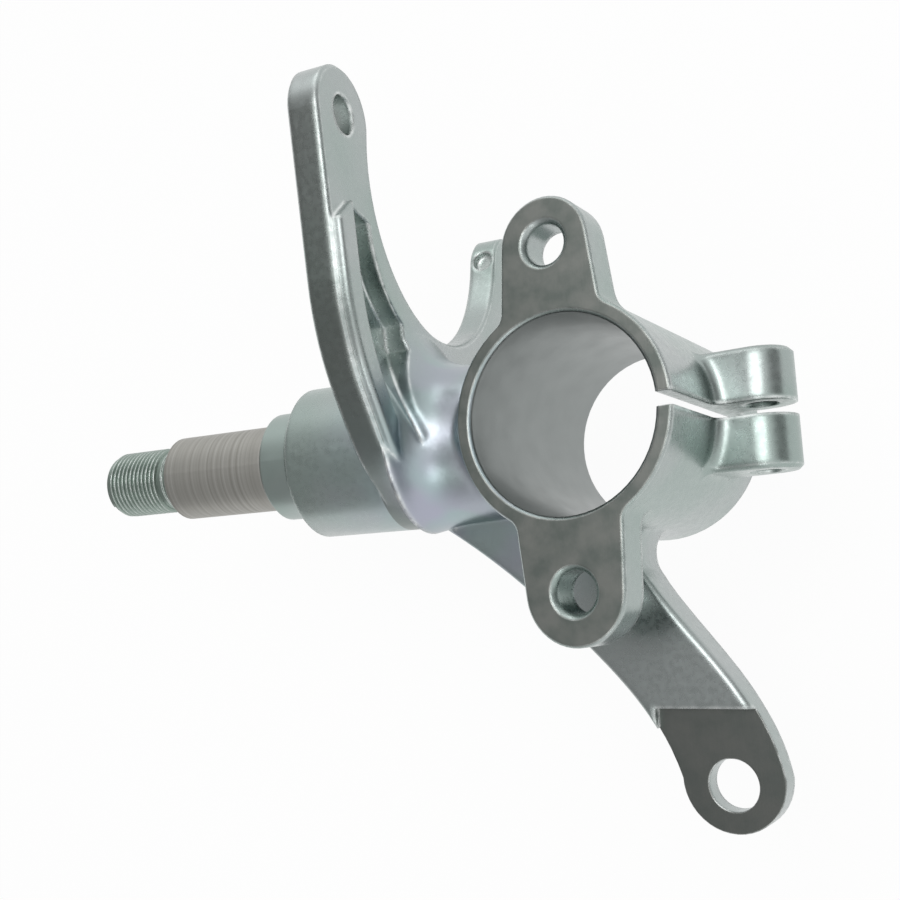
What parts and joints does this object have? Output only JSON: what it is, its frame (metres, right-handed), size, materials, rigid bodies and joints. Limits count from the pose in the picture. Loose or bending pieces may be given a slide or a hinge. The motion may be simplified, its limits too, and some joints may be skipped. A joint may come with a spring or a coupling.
{
  "type": "steering knuckle",
  "caption": "Forged steering knuckle with a split clamp tube, bolt lugs, stepped spindle, forked caliper bracket and steering arm.",
  "frame": {"origin": "on the axis of the clamp bore, at the tube's rear mouth", "axes": "+Z along the clamp bore to the lug face, +X outboard along the spindle's projection, +Y completes a right-handed frame; the picture's up is -Y"},
  "size_m": [0.207, 0.1905, 0.1335],
  "materials": {
    "plated_steel": "zinc plated forging, bluish clear passivate, satin; machined faces smoother"
  },
  "bodies": {
    "root": {"knuckle": "plated_steel"}
  },
  "joints": []
}
